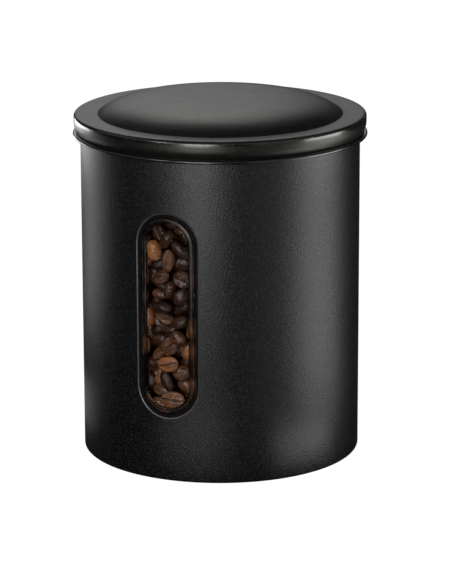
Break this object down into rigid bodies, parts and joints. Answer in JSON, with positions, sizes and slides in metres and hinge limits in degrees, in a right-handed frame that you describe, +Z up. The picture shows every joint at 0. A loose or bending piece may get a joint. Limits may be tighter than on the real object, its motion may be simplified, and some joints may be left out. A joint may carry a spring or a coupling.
{
  "type": "coffee canister",
  "caption": "Round black steel coffee canister with a slip-on domed lid that lifts off and an upright clear window showing the beans inside.",
  "frame": {"origin": "on the ground under the middle of the round body, where the turned-in foot rests", "axes": "+Z up along the body and the way the lid lifts, -Y out through the window"},
  "size_m": [0.1316, 0.1316, 0.1607],
  "materials": {
    "coated_steel": "satin black powder coat with a fine grain",
    "base_steel": "satin black powder coat",
    "lid_steel": "satin black powder coat with a fine grain",
    "clear_plastic": "clear polished plastic",
    "foam_tape": "dark closed-cell foam tape",
    "roasted_coffee": "roasted coffee beans, slightly oily",
    "moulded_plastic": "matte black moulded plastic",
    "silicone": "translucent pale grey silicone"
  },
  "bodies": {
    "canister": {"body_shell": "coated_steel", "base_plate": "base_steel", "window_pane": "clear_plastic", "window_gasket": "foam_tape", "coffee_beans": "roasted_coffee"},
    "lid": {"lid_shell": "lid_steel", "lid_liner": "moulded_plastic", "lid_seal": "silicone"}
  },
  "joints": [
    {"name": "lid_lift", "type": "slide", "parent": "canister", "child": "lid", "axis": [0, 0, 1], "range_m": [0, 0.04]}
  ]
}
